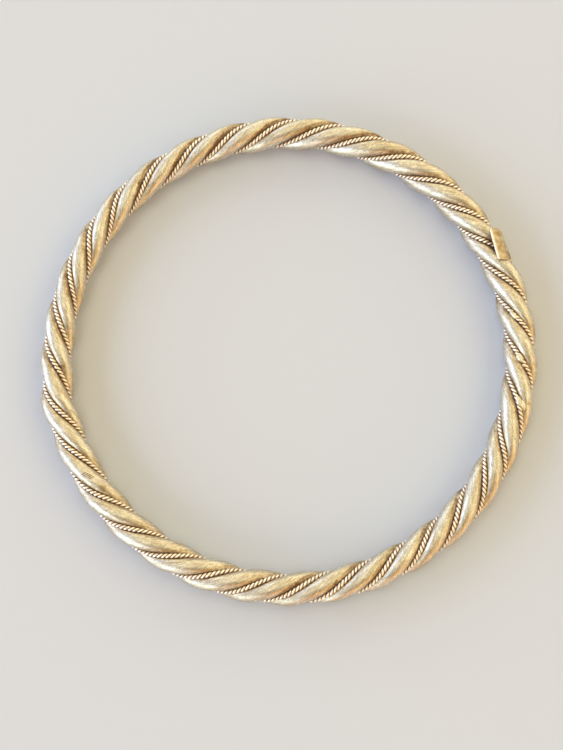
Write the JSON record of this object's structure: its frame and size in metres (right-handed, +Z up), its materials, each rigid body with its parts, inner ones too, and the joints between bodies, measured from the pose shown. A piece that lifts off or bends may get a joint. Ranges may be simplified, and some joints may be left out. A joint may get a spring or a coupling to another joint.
{
  "type": "twisted wire bangle",
  "caption": "Rigid closed bangle of thick silver wires twisted like a rope, with fine two-ply cords in the grooves and a small plate.",
  "frame": {"origin": "under the middle of the ring, on the surface that the bangle lies on", "axes": "+Z up along the ring's axis, +X towards the side of the ring where the fine cords are soldered, +Y in the ring's plane with the plate between +X and +Y"},
  "size_m": [0.0698, 0.0696, 0.0057],
  "materials": {
    "silver": "aged silver, softly polished on the crests, dark in the grooves",
    "fine_cord": "aged silver, bright on the plies and dark between them",
    "plate": "aged silver, satin"
  },
  "bodies": {
    "root": {"strand_a": "silver", "strand_b": "silver", "strand_c": "silver", "fine_wire_a": "fine_cord", "fine_wire_b": "fine_cord", "fine_wire_c": "fine_cord", "tag_plate": "plate"}
  },
  "joints": []
}
